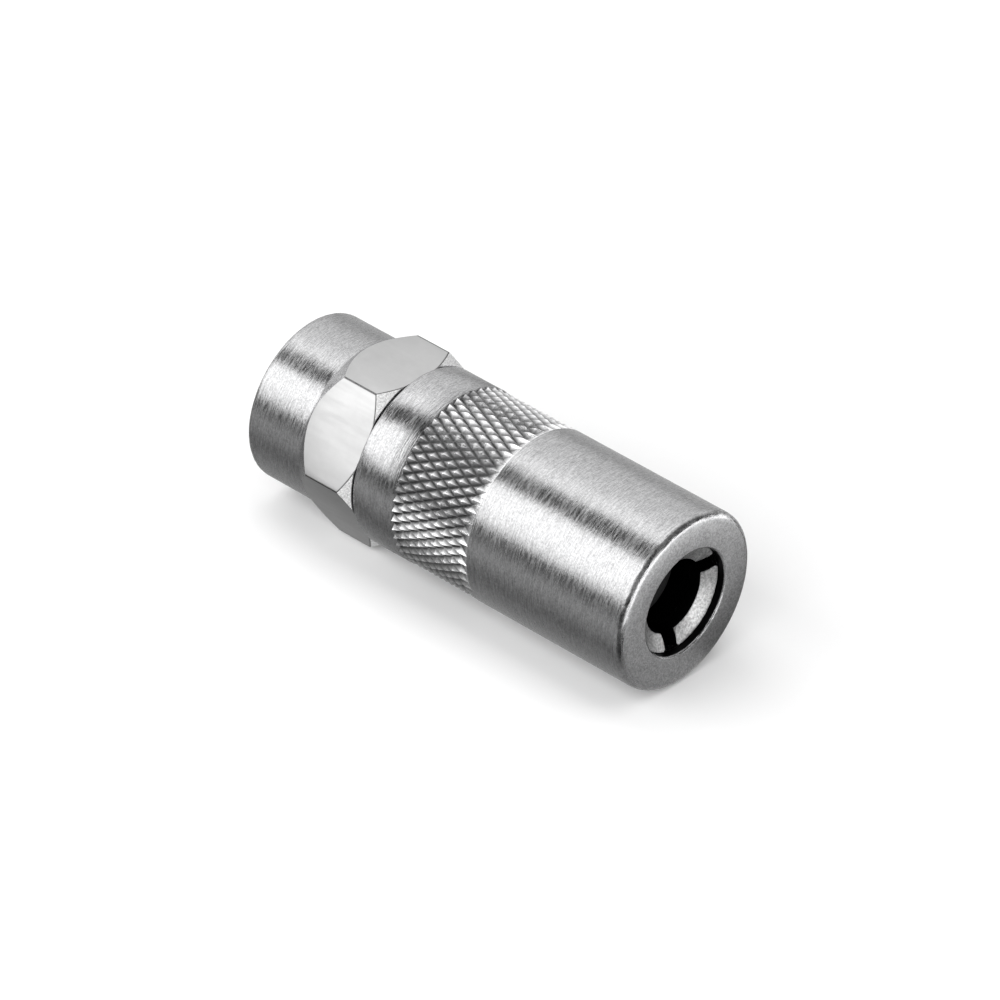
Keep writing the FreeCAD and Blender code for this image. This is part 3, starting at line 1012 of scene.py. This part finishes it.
# Angle around the axis from straight up towards the camera in degrees, and brightness there
TENT = ((-100, 0.4), (-92, 0.42), (-76, 0.62), (-62, 0.98), (-38, 1.1), (-22, 1.3), (-8, 1.85),
        (3, 1.85), (8, 0.08), (26, 0.06), (32, 2.25), (60, 2.2), (75, 1.8), (80, 1.5),
        (85, 0.07), (110, 0.15))
GROUND_START = -90
GROUND_WIDTH = 125
# Millimetres across the ground from the axis, away from the camera, and brightness there
GROUND = ((-85, 0.15), (-45, 0.28), (-30, 0.5), (-18, 0.36), (-11.5, 0.18), (-8, 0.28),
          (-5, 0.36), (0, 0.45), (10, 0.55), (30, 0.6))
# Name, angle around the axis from straight up, width, length, power, place along the axis
LAMPS = (
    ("front_lamp", 56, 0.49, 1.4, 4.8, -0.2),
    ("top_lamp", -8, 0.36, 1.4, 2.2, -0.2),
)
LAMP_DISTANCE = 0.5
LAMP_AHEAD = (0, 0.14, 0.12)


class SetStage(bpy.types.Operator):
    """Set up the camera, the pale floor and the soft studio light"""
    bl_idname = "coupler.set_stage"
    bl_label = "Camera and Stage"

    def execute(self, context):
        settings = context.scene.coupler_stage
        self.add_camera(context.scene, settings)
        self.add_floor(settings)
        self.add_lamps()
        self.add_tent()
        self.add_sheet()
        self.set_world(context.scene)
        context.scene.view_settings.view_transform = "Standard"
        return {"FINISHED"}

    def add_camera(self, scene, settings):
        """Aim the camera at the middle of the coupler."""
        across, up = settings.azimuth, settings.elevation
        back = Vector((math.sin(across) * math.cos(up), -math.cos(across) * math.cos(up),
                       math.sin(up)))
        data = bpy.data.cameras.new("camera")
        data.lens = settings.lens
        data.clip_start, data.clip_end = 0.01, 20
        camera = bpy.data.objects.new("camera", data)
        aim = Vector((settings.aim, 0, 0))
        turned = back.to_track_quat("Z", "Y").to_matrix().to_4x4()
        camera.matrix_world = (Matrix.Translation(aim + back * settings.distance) @ turned
                               @ Matrix.Rotation(settings.roll, 4, "Z"))
        scene.collection.objects.link(camera)
        scene.camera = camera

    def add_floor(self, settings):
        """Lay a wide pale floor under the coupler."""
        nodes, material = new_material("pale_floor")
        cloud = nodes.grain(8.0, 2.0, 0.5)
        tone = nodes.mix(cloud, shaded(settings.floor, 0.985), shaded(settings.floor, 1.0))
        surface = nodes.add("ShaderNodeBsdfDiffuse", None, {"Color": tone})
        nodes.add("ShaderNodeOutputMaterial", None, {"Surface": surface})
        self.stand(self.disc(FLOOR_RADIUS, FLOOR_GAP), "floor", material)

    def disc(self, radius, gap):
        """Return a level disc that lies under the coupler."""
        mesh = bmesh.new()
        bmesh.ops.create_circle(mesh, cap_ends=True, segments=96, radius=radius,
                                matrix=Matrix.Translation((0, 0, cad_box[0][2] - gap)))
        return mesh

    def stand(self, mesh, name, material):
        """Turn a mesh into an object of the stage."""
        item = new_object(mesh, name, [material])
        return item

    def add_lamps(self):
        """Hang long soft lamps that run along the coupler's axis, each at an angle around it."""
        for name, angle, size, long_size, power, place in LAMPS:
            data = bpy.data.lights.new(name, "AREA")
            data.shape = "RECTANGLE"
            data.size, data.size_y = long_size, size
            data.energy = power
            lamp = bpy.data.objects.new(name, data)
            around = Matrix.Rotation(math.radians(angle), 4, "X")
            lamp.matrix_world = (Matrix.Translation((place, 0, 0)) @ around
                                 @ Matrix.Translation((0, 0, LAMP_DISTANCE)))
            lamp.visible_glossy = False
            bpy.context.scene.collection.objects.link(lamp)

    def add_tent(self):
        """Hang the tent of lit and dark cloths that the steel mirrors."""
        mesh = bmesh.new()
        bmesh.ops.create_cone(mesh, cap_ends=True, segments=128, radius1=TENT_RADIUS,
                              radius2=TENT_RADIUS, depth=TENT_LENGTH,
                              matrix=Matrix.Rotation(math.pi / 2, 4, "Y"))
        nodes, material = new_material("tent_cloth")
        _, x, y, z = nodes.place()
        angle = nodes.add("ShaderNodeMath", {"operation": "ARCTAN2"}, {0: 0 - y, 1: z})
        level = nodes.steps(angle * (1 / FULL_TURN) + 0.5,
                            [(0.5 + degrees / 360, level) for degrees, level in TENT])
        glow(nodes, level * x.ramp(0.1, 0.4, 1.0, 0.15) + self.lamp_ahead(nodes, x, y, z))
        self.mirror_only(self.stand(mesh, "light_tent", material))

    def add_sheet(self):
        """Lay the dark ground sheet, painted shade of the floor that only the steel's gloss sees,
        with a painted lit end ahead of the nose and painted shadows beside it.
        """
        nodes, material = new_material("ground_sheet")
        _, x, y, _ = nodes.place()
        # A painted lit patch ahead of the nose and painted shadows beside it
        ahead = x.ramp(0.055, 0.062, 0.0, 2.0) * (y + 0.35 * x).ramp(-0.008, 0.004)
        shadow = x.ramp(0.039, 0.043) * y.ramp(-0.01, -0.006, 0.7, 0.0) + (
            x.ramp(0.036, 0.04) * x.ramp(0.043, 0.048, 0.65, 0.0) * y.ramp(0.002, 0.006))
        level = nodes.steps((y - GROUND_START * MM) * (1 / (GROUND_WIDTH * MM)),
                            [((place - GROUND_START) / GROUND_WIDTH, level)
                             for place, level in GROUND])
        glow(nodes, level * (1 - shadow) + ahead)
        self.mirror_only(self.stand(self.disc(SHEET_RADIUS, SHEET_GAP), "ground_sheet", material))

    def lamp_ahead(self, nodes, x, y, z):
        """Return the brightness of a round lamp on the tent's end, ahead of the nose."""
        reach = nodes.add("ShaderNodeVectorMath", {"operation": "DISTANCE"},
                          {0: nodes.vector(0.0, y, z), 1: LAMP_AHEAD}, output=1)
        end = TENT_LENGTH / 2
        return x.ramp(end - 0.01, end - 0.001) * reach.ramp(0.26, 0.32, 2.3, 0.0)

    def mirror_only(self, item):
        """Let only the steel's gloss see a thing of the stage."""
        item.visible_camera = item.visible_diffuse = False
        item.visible_transmission = item.visible_shadow = False

    def set_world(self, scene):
        """Light the scene softly, with white behind it wherever it is seen."""
        world = bpy.data.worlds.new("studio")
        world.use_nodes = True
        nodes = Nodes(world.node_tree)
        path = nodes.add("ShaderNodeLightPath").socket.node
        camera, glossy, through = (Value(nodes, path.outputs[f"Is {ray} Ray"])
                                   for ray in ("Camera", "Glossy", "Transmission"))
        seen = camera + glossy + through
        surface = nodes.add("ShaderNodeBackground", None,
                            {"Color": (1, 1, 1, 1), "Strength": seen.ramp(0.0, 1.0, 0.45, 1.0)})
        nodes.add("ShaderNodeOutputWorld", None, {"Surface": surface})
        scene.world = world


def glow(nodes, level):
    """Give a material a plain glow."""
    surface = nodes.add("ShaderNodeEmission", None, {"Strength": level})
    nodes.add("ShaderNodeOutputMaterial", None, {"Surface": surface})


class CouplerPanel(bpy.types.Panel):
    """Lists the pieces of the coupler."""
    bl_idname = "VIEW3D_PT_coupler"
    bl_label = "Grease Coupler"
    bl_space_type = "VIEW_3D"
    bl_region_type = "UI"
    bl_category = "Coupler"

    def draw(self, context):
        for operator in OPERATORS:
            self.layout.operator(operator.bl_idname)


SETTINGS = {
    "coupler_inlet": InletSettings,
    "coupler_sleeve": SleeveSettings,
    "coupler_jaws": JawSettings,
    "coupler_core": CoreSettings,
    "coupler_finishes": FinishSettings,
    "coupler_stage": StageSettings,
}
OPERATORS = (AddInletBody, AddSleeve, AddJaws, AddPiston, AddRings, AddSprings, SetStage)


def register():
    for name, group in SETTINGS.items():
        bpy.utils.register_class(group)
        setattr(bpy.types.Scene, name, bpy.props.PointerProperty(type=group))
    for item in OPERATORS + (CouplerPanel,):
        bpy.utils.register_class(item)


def unregister():
    for item in reversed(OPERATORS + (CouplerPanel,)):
        bpy.utils.unregister_class(item)
    for name, group in reversed(SETTINGS.items()):
        delattr(bpy.types.Scene, name)
        bpy.utils.unregister_class(group)


def main():
    """Build every piece in order and set the stage."""
    register()
    bpy.ops.coupler.add_inlet_body()
    bpy.ops.coupler.add_sleeve()
    bpy.ops.coupler.add_jaws()
    bpy.ops.coupler.add_piston()
    bpy.ops.coupler.add_rings()
    bpy.ops.coupler.add_springs()
    bpy.ops.coupler.set_stage()
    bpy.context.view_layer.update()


if __name__ == "__main__":
    main()
